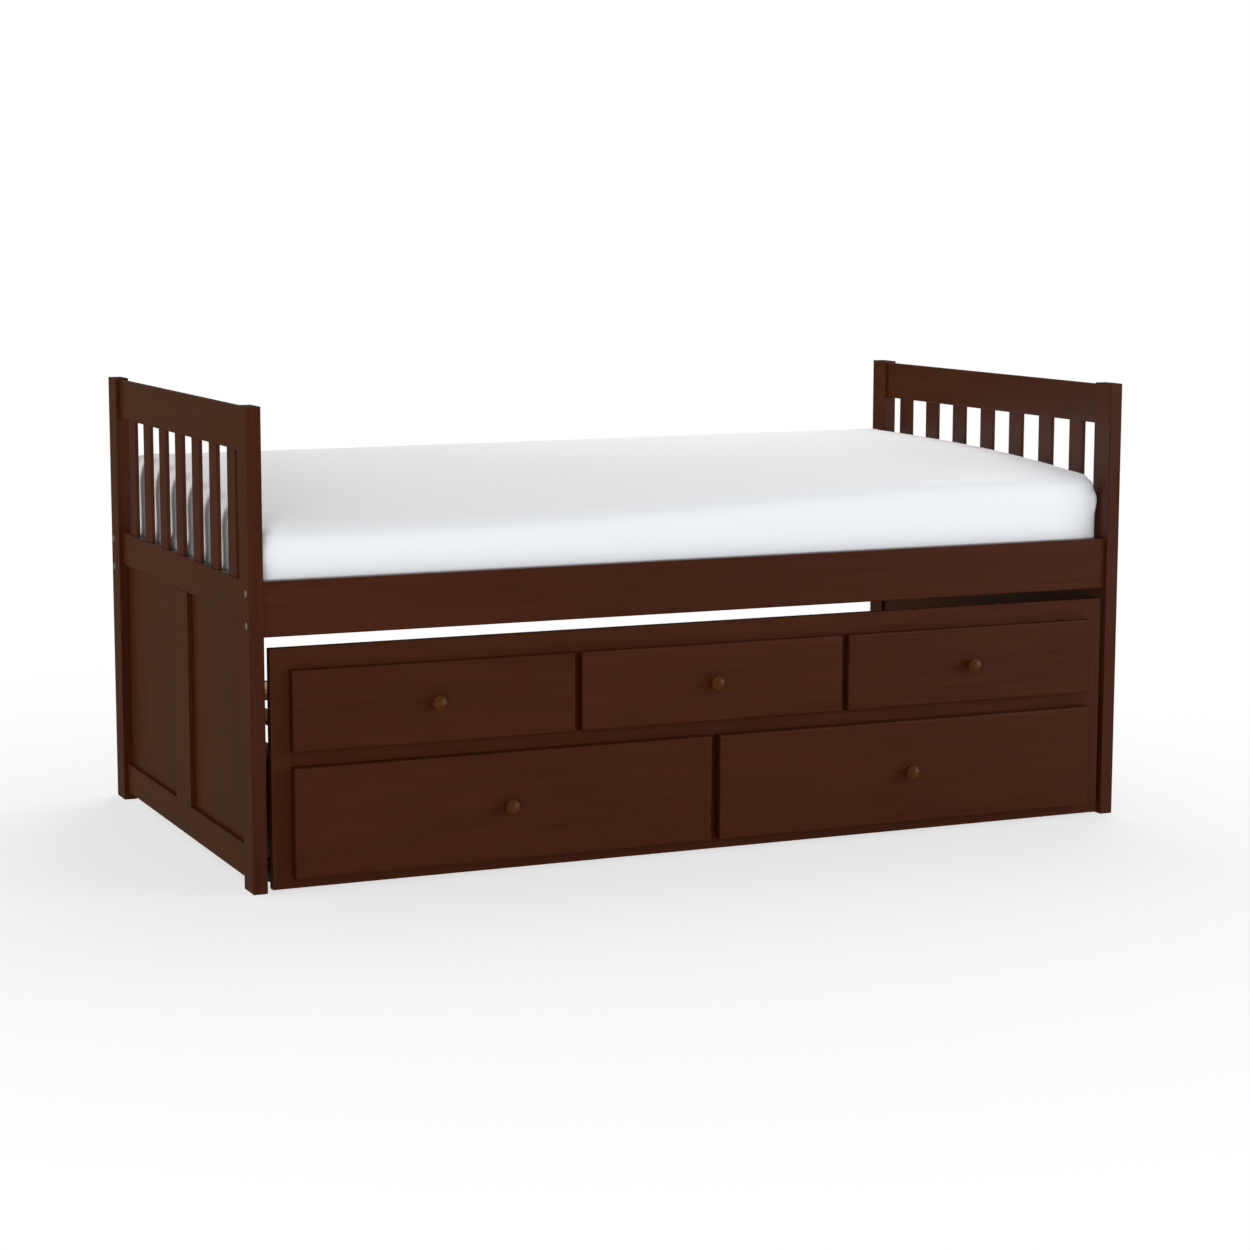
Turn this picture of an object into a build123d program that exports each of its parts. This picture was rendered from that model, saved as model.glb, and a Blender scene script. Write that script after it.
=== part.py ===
from build123d import *

import math
import os

# A captain's bed with a roll-out trundle, in millimetres.
# X runs along the bed, Y from its front to its rear, and Z up from the floor.
# The origin is on the floor, below the middle of the whole bed with its knobs.

# Posts
BED_LENGTH = 1990.0
BED_WIDTH = 1080.0
POST_HEIGHT = 960.0
POST_THICKNESS = 30.0
POST_WIDTH = 63.0
EDGE_EASE = 2.0

# Ends: rails, a centre stile, two panels and a row of slats between two posts
END_RAIL_THICKNESS = 15.0
END_RAIL_RECESS = 9.0
TOP_RAIL_DROP = 4.0
TOP_RAIL_HEIGHT = 86.0
MID_RAIL_TOP = 615.0
MID_RAIL_HEIGHT = 73.0
BOTTOM_RAIL_FLOOR_GAP = 18.0
BOTTOM_RAIL_HEIGHT = 66.0
CENTRE_STILE_WIDTH = 114.0
PANEL_THICKNESS = 5.0
PANEL_LAP = 6.0
END_SLAT_COUNT = 7
END_SLAT_WIDTH = 57.0
END_SLAT_THICKNESS = 8.0
END_SLAT_POST_GAP = 60.0
END_SLAT_HOUSING = 12.0

# Glued joints
TENON_LENGTH = 22.0
TENON_THICKNESS = 7.0
TENON_SHOULDER = 10.0
JOINT_CLEARANCE = 0.15

# Side rails and the bolts that hold them to the posts
SIDE_RAIL_HEIGHT = 110.0
SIDE_RAIL_THICKNESS = 22.0
SIDE_RAIL_RECESS = 8.0
BOLT_DIAMETER = 6.0
BOLT_REACH = 50.0
BOLT_HEAD_DIAMETER = 14.0
BOLT_HEAD_HEIGHT = 3.0
BOLT_HEAD_PROUD = 0.6
BOLT_SOCKET_ACROSS = 5.0
BOLT_SOCKET_DEPTH = 1.8
BOLT_EDGE_INSET = 23.0
BARREL_NUT_DIAMETER = 10.0
BARREL_NUT_LENGTH = 14.0
BARREL_NUT_SETBACK = 36.0
FASTENER_CLEARANCE = 0.1

# Slats of the bed and of the trundle, and their screws
LEDGER_HEIGHT = 26.0
LEDGER_THICKNESS = 22.0
LEDGER_END_GAP = 70.0
BED_SLAT_COUNT = 14
BED_SLAT_WIDTH = 68.0
BED_SLAT_THICKNESS = 18.0
SLAT_END_CLEARANCE = 1.0
SCREW_DIAMETER = 4.0
SCREW_BITE = 16.0
SCREW_HEAD_DIAMETER = 8.0
SCREW_HEAD_HEIGHT = 3.0

# Mattress
MATTRESS_THICKNESS = 252.0
MATTRESS_SIDE_GAP = 1.0
MATTRESS_END_GAP = 0.5
MATTRESS_LIFT = 0.3
MATTRESS_CORNER_RADIUS = 6.0
MATTRESS_TOP_EDGE_RADIUS = 52.0
MATTRESS_BOTTOM_EDGE_RADIUS = 22.0
MATTRESS_CROWN = 10.0
MATTRESS_CROWN_STEPS = 3
MATTRESS_FLAT_SHARE = 0.25
MATTRESS_DRAW_IN = 1.5
MATTRESS_ARC_STEPS = 4

# Trundle face: two stiles, an upper panel, a bottom rail and a muntin
TRUNDLE_END_CLEARANCE = 11.0
TRUNDLE_HEAD_CLEARANCE = 22.0
TRUNDLE_DEPTH = 1050.0
TRUNDLE_FLOOR_GAP = 6.0
FACE_RECESS = 3.0
FACE_THICKNESS = 20.0
FACE_HEIGHT = 481.0
STILE_WIDTH = 51.0
MUNTIN_WIDTH = 42.0
FACE_BOTTOM_RAIL_HEIGHT = 40.0
DRAWER_OPENING_HEIGHT = 160.0

# Fronts and knobs
DRAWER_FRONT_THICKNESS = 24.0
DRAWER_STANDOFF = 4.0
FRONT_LAP_END = 12.0
FRONT_LAP_BOTTOM = 16.0
FRONT_LAP_TOP = 45.0
FRONT_EDGE_ROUND = 4.0
FALSE_FRONT_COUNT = 3
FALSE_FRONT_THICKNESS = 20.0
FALSE_FRONT_HEIGHT = 163.0
FALSE_FRONT_GAP = 14.0
FRONT_ROW_GAP = 30.0
KNOB_RADIUS = 16.0
KNOB_PROJECTION = 27.0
KNOB_DOME_HEIGHT = 10.0
KNOB_FLARE_HEIGHT = 9.0
KNOB_NECK_RADIUS = 7.0
KNOB_FOOT_RADIUS = 9.0
KNOB_FOOT_HEIGHT = 3.0
KNOB_TENON_RADIUS = 5.0
KNOB_TENON_LENGTH = 14.0
BUMPER_DIAMETER = 8.0
BUMPER_INSET = 24.0
CONTACT_GAP = 0.3

# Trundle box and deck
SIDE_PANEL_THICKNESS = 16.0
DIVIDER_THICKNESS = 12.0
DECK_HEIGHT = 248.0
DECK_SLAT_COUNT = 16
DECK_SLAT_WIDTH = 45.0
DECK_SLAT_THICKNESS = 12.0
CLEAT_HEIGHT = 28.0
CLEAT_THICKNESS = 20.0
REAR_RAIL_HEIGHT = 40.0
REAR_RAIL_THICKNESS = 18.0
REAR_BOTTOM_RAIL_HEIGHT = 88.0

# Wheels and their riveted axles
WHEEL_RADIUS = 25.0
WHEEL_WIDTH = 14.0
WHEEL_EDGE_ROUND = 3.0
WHEEL_RIM_DEPTH = 6.0
WHEEL_DISH_DEPTH = 2.5
WHEEL_HUB_RADIUS = 9.0
AXLE_RADIUS = 4.0
AXLE_HEAD_RADIUS = 7.5
AXLE_HEAD_HEIGHT = 3.0
AXLE_COLLAR_LENGTH = 3.0
WHEEL_SIDE_PLAY = 0.5
RUNNING_CLEARANCE = 0.08
FRONT_WHEEL_SETBACK = 80.0
REAR_WHEEL_SETBACK = 80.0

# Drawer boxes and their metal slides
DRAWER_DEPTH = 460.0
DRAWER_BOARD = 12.0
DRAWER_SIDE_HEIGHT = 140.0
DRAWER_BOX_LIFT = 12.0
DRAWER_BOTTOM_THICKNESS = 5.0
DRAWER_BOTTOM_LIFT = 10.0
DRAWER_GROOVE = 6.0
SLIDE_SPACE = 12.5
SLIDE_HEIGHT = 45.0
SLIDE_LENGTH = 430.0
SLIDE_GAUGE = 1.5
SLIDE_WEB_GAP = 0.8

# Places along the bed, counted from the middle of its length
post_inner_x = BED_LENGTH / 2 - POST_THICKNESS
end_x = -BED_LENGTH / 2
rail_outer_x = end_x + END_RAIL_RECESS
rail_inner_x = rail_outer_x + END_RAIL_THICKNESS
face_half = post_inner_x - TRUNDLE_END_CLEARANCE
opening_outer_x = face_half - STILE_WIDTH
opening_inner_x = MUNTIN_WIDTH / 2
front_outer_x = opening_outer_x + FRONT_LAP_END
front_inner_x = opening_inner_x - FRONT_LAP_END
side_outer_x = opening_outer_x + SIDE_PANEL_THICKNESS
divider_inner_x = opening_inner_x - DIVIDER_THICKNESS

# Places across the bed
knob_reach = DRAWER_FRONT_THICKNESS + DRAWER_STANDOFF + KNOB_PROJECTION - FACE_RECESS
post_front_y = (knob_reach - BED_WIDTH) / 2
post_rear_y = post_front_y + BED_WIDTH
bed_mid_y = post_front_y + BED_WIDTH / 2
inner_front_y = post_front_y + POST_WIDTH
inner_rear_y = post_rear_y - POST_WIDTH
side_rail_front_y = post_front_y + SIDE_RAIL_RECESS
side_rail_inner_y = side_rail_front_y + SIDE_RAIL_THICKNESS
face_y = post_front_y + FACE_RECESS
face_back_y = face_y + FACE_THICKNESS
trundle_rear_y = face_y + TRUNDLE_DEPTH
rear_rail_y = trundle_rear_y - REAR_RAIL_THICKNESS
drawer_back_y = face_y - DRAWER_STANDOFF
drawer_face_y = drawer_back_y - DRAWER_FRONT_THICKNESS
false_front_y = face_y - FALSE_FRONT_THICKNESS
wheel_rows_y = (face_back_y + FRONT_WHEEL_SETBACK, trundle_rear_y - REAR_WHEEL_SETBACK)

# Heights above the floor
top_rail_top = POST_HEIGHT - TOP_RAIL_DROP
top_rail_bottom = top_rail_top - TOP_RAIL_HEIGHT
mid_rail_bottom = MID_RAIL_TOP - MID_RAIL_HEIGHT
bottom_rail_top = BOTTOM_RAIL_FLOOR_GAP + BOTTOM_RAIL_HEIGHT
face_top = TRUNDLE_FLOOR_GAP + FACE_HEIGHT
side_rail_bottom = face_top + TRUNDLE_HEAD_CLEARANCE
side_rail_top = side_rail_bottom + SIDE_RAIL_HEIGHT
ledger_top = side_rail_bottom + LEDGER_HEIGHT
bed_slat_top = ledger_top + BED_SLAT_THICKNESS
opening_bottom = TRUNDLE_FLOOR_GAP + FACE_BOTTOM_RAIL_HEIGHT
opening_top = opening_bottom + DRAWER_OPENING_HEIGHT
front_bottom = opening_bottom - FRONT_LAP_BOTTOM
front_top = opening_top + FRONT_LAP_TOP
false_front_bottom = front_top + FRONT_ROW_GAP
false_front_top = false_front_bottom + FALSE_FRONT_HEIGHT
deck_bottom = DECK_HEIGHT - DECK_SLAT_THICKNESS
cleat_bottom = deck_bottom - CLEAT_HEIGHT
drawer_box_bottom = opening_bottom + DRAWER_BOX_LIFT
drawer_box_top = drawer_box_bottom + DRAWER_SIDE_HEIGHT
drawer_floor_bottom = drawer_box_bottom + DRAWER_BOTTOM_LIFT
drawer_floor_top = drawer_floor_bottom + DRAWER_BOTTOM_THICKNESS
slide_bottom = (drawer_box_bottom + drawer_box_top - SLIDE_HEIGHT) / 2
slide_top = slide_bottom + SLIDE_HEIGHT

X, Y, Z = range(3)


def block(low, high):
    """A box from its lowest to its highest corner."""
    size = [b - a for a, b in zip(low, high)]
    return Pos(*low) * Box(*size, align=(Align.MIN, Align.MIN, Align.MIN))


def pocket(corners, clearance=JOINT_CLEARANCE):
    """The room that a box needs, with a clearance on every side."""
    low, high = corners
    return block([a - clearance for a in low], [b + clearance for b in high])


def eased(board, axis, radius=EDGE_EASE):
    """A board with the edges along one axis rounded over."""
    return fillet(board.edges().filter_by(axis), radius)


def rod(start, direction, length, radius):
    """A round rod from a point, along a direction."""
    return Plane(start, z_dir=direction) * Cylinder(
        radius, length, align=(Align.CENTER, Align.CENTER, Align.MIN)
    )


def across_bed(piece):
    """The piece's twin on the other side of the bed's long middle line."""
    return mirror(piece, about=Plane.XZ.offset(-bed_mid_y))


def along_bed(piece):
    """The piece's twin at the other end of the bed."""
    return mirror(piece, about=Plane.YZ)


def spread(first, last, count):
    """Evenly spaced places from the first to the last."""
    step = (last - first) / (count - 1)
    return [first + i * step for i in range(count)]


def write(name, *pieces):
    """One node, with each of its pieces as a separate solid."""
    solids = [solid for piece in pieces for solid in piece.solids()]
    shape = solids[0] if len(solids) == 1 else Compound(solids)
    export_step(shape, f"parts/{name}.step")


def tenon_bar(low, high, along, thickness):
    """Corners of the bar that runs through a board and stands out of both ends as tenons."""
    width = X + Y + Z - along - thickness
    start, end = list(low), list(high)
    middle = (low[thickness] + high[thickness]) / 2
    start[along] = low[along] - TENON_LENGTH
    end[along] = high[along] + TENON_LENGTH
    start[thickness] = middle - TENON_THICKNESS / 2
    end[thickness] = middle + TENON_THICKNESS / 2
    start[width] = low[width] + TENON_SHOULDER
    end[width] = high[width] - TENON_SHOULDER
    return start, end


def side_rail_bolts():
    """Places of the two bolts where the front rail meets the left front post."""
    y = side_rail_front_y + SIDE_RAIL_THICKNESS / 2
    heights = (side_rail_bottom + BOLT_EDGE_INSET, side_rail_top - BOLT_EDGE_INSET)
    return [(end_x, y, z) for z in heights]


def bolt_room(place):
    """Drilling for one bolt: the shank's hole and the seat of its head."""
    reach = POST_THICKNESS + BOLT_REACH
    shank = rod(place, (1, 0, 0), reach, BOLT_DIAMETER / 2 + FASTENER_CLEARANCE)
    seat_radius = BOLT_HEAD_DIAMETER / 2 + FASTENER_CLEARANCE
    return shank + rod(place, (1, 0, 0), BOLT_HEAD_HEIGHT - BOLT_HEAD_PROUD, seat_radius)


def rail_bolt(place):
    """A socket-head bolt that passes through the post into the end of the side rail."""
    x, y, z = place
    head_x = x - BOLT_HEAD_PROUD
    head = rod((head_x, y, z), (1, 0, 0), BOLT_HEAD_HEIGHT, BOLT_HEAD_DIAMETER / 2)
    length = POST_THICKNESS + BOLT_REACH + BOLT_HEAD_PROUD - FASTENER_CLEARANCE
    bolt = head + rod((head_x, y, z), (1, 0, 0), length, BOLT_DIAMETER / 2)
    hexagon = RegularPolygon(BOLT_SOCKET_ACROSS / 2, 6, major_radius=False)
    socket = extrude(Plane((head_x, y, z), z_dir=(1, 0, 0)) * hexagon, BOLT_SOCKET_DEPTH)
    return bolt - socket


def barrel_nut(place):
    """The cross dowel in the side rail that one bolt screws into."""
    x, y, z = place
    start = (x + POST_THICKNESS + BARREL_NUT_SETBACK, y - BARREL_NUT_LENGTH / 2, z)
    return rod(start, (0, 1, 0), BARREL_NUT_LENGTH, BARREL_NUT_DIAMETER / 2) - bolt_room(place)


def barrel_nut_hole(place):
    """The hole for a barrel nut, drilled from the side rail's inner face."""
    x, y, z = place
    start = (x + POST_THICKNESS + BARREL_NUT_SETBACK, side_rail_inner_y, z)
    depth = (SIDE_RAIL_THICKNESS + BARREL_NUT_LENGTH) / 2 + FASTENER_CLEARANCE
    return rod(start, (0, -1, 0), depth, BARREL_NUT_DIAMETER / 2 + FASTENER_CLEARANCE)


def end_boards():
    """Pieces of the left end, by name: posts, rails, stile, panels and slats."""
    rail_heights = {
        "top_rail": (top_rail_bottom, top_rail_top),
        "mid_rail": (mid_rail_bottom, MID_RAIL_TOP),
        "bottom_rail": (BOTTOM_RAIL_FLOOR_GAP, bottom_rail_top),
    }
    rails, rail_tenons = {}, []
    for name, (bottom, top) in rail_heights.items():
        low = (rail_outer_x, inner_front_y, bottom)
        high = (rail_inner_x, inner_rear_y, top)
        tenon = tenon_bar(low, high, Y, X)
        rails[name] = eased(block(low, high), Axis.Y) + block(*tenon)
        rail_tenons.append(tenon)

    stile_low = (rail_outer_x, bed_mid_y - CENTRE_STILE_WIDTH / 2, bottom_rail_top)
    stile_high = (rail_inner_x, bed_mid_y + CENTRE_STILE_WIDTH / 2, mid_rail_bottom)
    stile_tenon = tenon_bar(stile_low, stile_high, Z, X)
    stile = block(stile_low, stile_high) + block(*stile_tenon)

    panel_low = (
        rail_inner_x - PANEL_THICKNESS,
        inner_front_y - PANEL_LAP,
        bottom_rail_top - PANEL_LAP,
    )
    panel_high = (rail_inner_x, stile_low[Y] + PANEL_LAP, mid_rail_bottom + PANEL_LAP)
    front_panel = block(panel_low, panel_high)
    panel_room = pocket((panel_low, panel_high))
    panel_rooms = panel_room + across_bed(panel_room)
    stile -= panel_rooms

    slat_x = rail_outer_x + (END_RAIL_THICKNESS - END_SLAT_THICKNESS) / 2
    first_y = inner_front_y + END_SLAT_POST_GAP + END_SLAT_WIDTH / 2
    slats, slat_rooms = [], []
    for y in spread(first_y, 2 * bed_mid_y - first_y, END_SLAT_COUNT):
        low = (slat_x, y - END_SLAT_WIDTH / 2, MID_RAIL_TOP - END_SLAT_HOUSING)
        high = (
            slat_x + END_SLAT_THICKNESS,
            y + END_SLAT_WIDTH / 2,
            top_rail_bottom + END_SLAT_HOUSING,
        )
        slats.append(eased(block(low, high), Axis.Z))
        slat_rooms.append(pocket((low, high)))

    rails["top_rail"] -= slat_rooms
    rails["mid_rail"] -= [*slat_rooms, pocket(stile_tenon), panel_rooms]
    rails["bottom_rail"] -= [pocket(stile_tenon), panel_rooms]

    post_low = (end_x, post_front_y, 0)
    post_high = (end_x + POST_THICKNESS, inner_front_y, POST_HEIGHT)
    post = block(post_low, post_high)
    post = fillet(post.edges(), EDGE_EASE)
    post -= [pocket(tenon) for tenon in rail_tenons]
    post -= panel_room
    post -= [bolt_room(place) for place in side_rail_bolts()]

    return {
        "front_post": [post],
        "rear_post": [across_bed(post)],
        "top_rail": [rails["top_rail"]],
        "mid_rail": [rails["mid_rail"]],
        "bottom_rail": [rails["bottom_rail"]],
        "centre_stile": [stile],
        "end_panels": [front_panel, across_bed(front_panel)],
        "end_slats": slats,
    }


def write_ends():
    """The two ends of the bed, alike but for the hand."""
    for name, pieces in end_boards().items():
        write(f"left_{name}", *pieces)
        write(f"right_{name}", *[along_bed(piece) for piece in pieces])


def write_side_rails():
    """The two side rails with their bolts and barrel nuts."""
    low = (-post_inner_x, side_rail_front_y, side_rail_bottom)
    high = (post_inner_x, side_rail_inner_y, side_rail_top)
    rail = eased(block(low, high), Axis.X)
    bolts, nuts = [], []
    for place in side_rail_bolts():
        bolt_hole = bolt_room(place)
        nut_hole = barrel_nut_hole(place)
        rail -= [bolt_hole, along_bed(bolt_hole), nut_hole, along_bed(nut_hole)]
        for kept, piece in ((bolts, rail_bolt(place)), (nuts, barrel_nut(place))):
            pair = [piece, along_bed(piece)]
            kept += pair + [across_bed(one) for one in pair]
    write("front_side_rail", rail)
    write("rear_side_rail", across_bed(rail))
    write("side_rail_bolts", *bolts)
    write("side_rail_barrel_nuts", *nuts)


def screw(x, y, top, bite):
    """A flat-head wood screw, its head flush with the top of what it holds."""
    head = rod((x, y, top), (0, 0, -1), SCREW_HEAD_HEIGHT, SCREW_HEAD_DIAMETER / 2)
    return head + rod((x, y, top), (0, 0, -1), bite, SCREW_DIAMETER / 2)


def screw_room(x, y, top, bite):
    """Drilling for one wood screw."""
    head_radius = SCREW_HEAD_DIAMETER / 2 + FASTENER_CLEARANCE
    shank_radius = SCREW_DIAMETER / 2 + FASTENER_CLEARANCE
    head = rod((x, y, top), (0, 0, -1), SCREW_HEAD_HEIGHT, head_radius)
    return head + rod((x, y, top), (0, 0, -1), bite + FASTENER_CLEARANCE, shank_radius)


def slat_deck(places, width, ends, heights, screw_rows):
    """Slats laid across two ledges, with a screw at each end of each slat.

    Returns the slats, the screws and the drillings that the ledges need.
    """
    bottom, top = heights
    bite = top - bottom + SCREW_BITE
    slats, screws, rooms = [], [], []
    for x in places:
        low = (x - width / 2, ends[0], bottom)
        high = (x + width / 2, ends[1], top)
        slat = eased(block(low, high), Axis.Y)
        for y in screw_rows:
            room = screw_room(x, y, top, bite)
            slat -= room
            rooms.append(room)
            screws.append(screw(x, y, top, bite))
        slats.append(slat)
    return slats, screws, rooms


def write_bed_base():
    """The ledgers along the side rails and the slats that carry the mattress."""
    half = post_inner_x - LEDGER_END_GAP
    ledger = block(
        (-half, side_rail_inner_y, side_rail_bottom),
        (half, side_rail_inner_y + LEDGER_THICKNESS, ledger_top),
    )
    front_screw_y = side_rail_inner_y + LEDGER_THICKNESS / 2
    first = BED_SLAT_WIDTH / 2 - half
    ends_y = side_rail_inner_y + SLAT_END_CLEARANCE
    slats, screws, rooms = slat_deck(
        spread(first, -first, BED_SLAT_COUNT),
        BED_SLAT_WIDTH,
        (ends_y, 2 * bed_mid_y - ends_y),
        (ledger_top, bed_slat_top),
        (front_screw_y, 2 * bed_mid_y - front_screw_y),
    )
    write("front_ledger", ledger - rooms)
    write("rear_ledger", across_bed(ledger) - rooms)
    write("bed_slats", *slats)
    write("bed_slat_screws", *screws)


def mattress_sections():
    """Heights above the mattress's base, and how far its outline is drawn in at each."""
    steps = [math.radians(90 * i / MATTRESS_ARC_STEPS) for i in range(MATTRESS_ARC_STEPS + 1)]
    top_edge = MATTRESS_THICKNESS - MATTRESS_CROWN
    side_top = top_edge - MATTRESS_TOP_EDGE_RADIUS
    side_bottom = MATTRESS_BOTTOM_EDGE_RADIUS
    sections = []
    for angle in steps:
        height = MATTRESS_BOTTOM_EDGE_RADIUS * (1 - math.cos(angle))
        sections.append((height, MATTRESS_BOTTOM_EDGE_RADIUS * (1 - math.sin(angle))))
    sections.append(((side_bottom + side_top) / 2, MATTRESS_DRAW_IN))
    for angle in steps:
        height = side_top + MATTRESS_TOP_EDGE_RADIUS * math.sin(angle)
        sections.append((height, MATTRESS_TOP_EDGE_RADIUS * (1 - math.cos(angle))))
    return sections


def write_mattress():
    """A mattress with rounded edges, drawn-in sides and a crowned top."""
    length = 2 * (post_inner_x - MATTRESS_END_GAP)
    width = 2 * (bed_mid_y - side_rail_inner_y - MATTRESS_SIDE_GAP)
    base = bed_slat_top + MATTRESS_LIFT

    def outline(height, inset):
        corner = MATTRESS_CORNER_RADIUS - inset * MATTRESS_CORNER_RADIUS / (width / 2)
        shape = RectangleRounded(length - 2 * inset, width - 2 * inset, corner)
        return Pos(0, bed_mid_y, base + height) * shape

    sections = mattress_sections()
    edge_height, edge_inset = sections[-1]
    reach = (width / 2 - edge_inset) * (1 - MATTRESS_FLAT_SHARE)
    for step in range(1, MATTRESS_CROWN_STEPS + 1):
        share = step / MATTRESS_CROWN_STEPS
        rise = MATTRESS_CROWN * (1 - (1 - share) ** 2)
        sections.append((edge_height + rise, edge_inset + reach * share))
    write("mattress", loft([outline(*section) for section in sections], ruled=True))


def write_trundle_face():
    """The trundle's front frame, with the openings for the two drawers."""
    stile_low = (-face_half, face_y, TRUNDLE_FLOOR_GAP)
    stile_high = (-opening_outer_x, face_back_y, face_top)
    panel_corners = (
        (-opening_outer_x, face_y, opening_top),
        (opening_outer_x, face_back_y, face_top),
    )
    rail_corners = (
        (-opening_outer_x, face_y, TRUNDLE_FLOOR_GAP),
        (opening_outer_x, face_back_y, opening_bottom),
    )
    muntin_corners = (
        (-opening_inner_x, face_y, opening_bottom),
        (opening_inner_x, face_back_y, opening_top),
    )
    panel_tenon = tenon_bar(*panel_corners, X, Y)
    rail_tenon = tenon_bar(*rail_corners, X, Y)
    muntin_tenon = tenon_bar(*muntin_corners, Z, Y)
    stile = block(stile_low, stile_high) - [pocket(panel_tenon), pocket(rail_tenon)]
    panel = block(*panel_corners) + block(*panel_tenon) - pocket(muntin_tenon)
    panel -= [knob_hole(x, false_front_y, false_front_middle_z()) for x in false_front_places()]
    rail = block(*rail_corners) + block(*rail_tenon) - pocket(muntin_tenon)
    muntin = block(*muntin_corners) + block(*muntin_tenon)
    write("face_left_stile", stile)
    write("face_right_stile", along_bed(stile))
    write("face_upper_panel", panel)
    write("face_bottom_rail", rail)
    write("face_muntin", muntin)


def rounded_front(low, high):
    """A front board with its outer edges and corners softened."""
    board = block(low, high)
    rim = board.faces().sort_by(Axis.Y)[0].edges()
    return fillet(rim, FRONT_EDGE_ROUND)


def knob():
    """A turned knob with its tenon, standing on the floor plane with its dome up."""
    dome_base = KNOB_PROJECTION - KNOB_DOME_HEIGHT
    flare_base = dome_base - KNOB_FLARE_HEIGHT
    dome_radius = (KNOB_RADIUS**2 + KNOB_DOME_HEIGHT**2) / (2 * KNOB_DOME_HEIGHT)
    dome_centre = KNOB_PROJECTION - dome_radius
    half_angle = math.asin(KNOB_RADIUS / dome_radius) / 2
    dome_middle = (
        dome_radius * math.sin(half_angle),
        dome_centre + dome_radius * math.cos(half_angle),
    )
    shaft = Polyline(
        (0, KNOB_PROJECTION),
        (0, -KNOB_TENON_LENGTH),
        (KNOB_TENON_RADIUS, -KNOB_TENON_LENGTH),
        (KNOB_TENON_RADIUS, 0),
        (KNOB_FOOT_RADIUS, 0),
        (KNOB_FOOT_RADIUS, KNOB_FOOT_HEIGHT),
        (KNOB_NECK_RADIUS, flare_base),
    )
    flare_middle = (
        KNOB_NECK_RADIUS + (KNOB_RADIUS - KNOB_NECK_RADIUS) * math.sin(math.pi / 4),
        dome_base - KNOB_FLARE_HEIGHT * math.cos(math.pi / 4),
    )
    flare = ThreePointArc((KNOB_NECK_RADIUS, flare_base), flare_middle, (KNOB_RADIUS, dome_base))
    dome = ThreePointArc((KNOB_RADIUS, dome_base), dome_middle, (0, KNOB_PROJECTION))
    profile = Plane.XZ * make_face([shaft, flare, dome])
    return revolve(profile, Axis.Z)


def placed_knob(x, front_y, z):
    """A knob on a front board, pointing out of the bed's front."""
    return Pos(x, front_y, z) * Rot(90, 0, 0) * knob()


def knob_hole(x, front_y, z):
    """The hole in a front board for a knob's tenon."""
    radius = KNOB_TENON_RADIUS + FASTENER_CLEARANCE
    depth = KNOB_TENON_LENGTH + FASTENER_CLEARANCE
    return rod((x, front_y, z), (0, 1, 0), depth, radius)


def false_front_places():
    """Middles of the false fronts along the bed."""
    row = 2 * front_outer_x
    width = (row - (FALSE_FRONT_COUNT - 1) * FALSE_FRONT_GAP) / FALSE_FRONT_COUNT
    return spread((width - row) / 2, (row - width) / 2, FALSE_FRONT_COUNT)


def false_front_middle_z():
    """Height of the false fronts' knobs."""
    return (false_front_bottom + false_front_top) / 2


def write_false_fronts():
    """The row of false drawer fronts fixed to the upper panel, with their knobs."""
    places = false_front_places()
    half = (places[1] - places[0] - FALSE_FRONT_GAP) / 2
    names = [f"false_front_{i + 1}" for i in range(FALSE_FRONT_COUNT)]
    middle_z = false_front_middle_z()
    knobs = []
    for name, x in zip(names, places):
        low = (x - half, false_front_y, false_front_bottom)
        high = (x + half, face_y, false_front_top)
        write(name, rounded_front(low, high) - knob_hole(x, false_front_y, middle_z))
        knobs.append(placed_knob(x, false_front_y, middle_z))
    write("false_front_knobs", *knobs)


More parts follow.
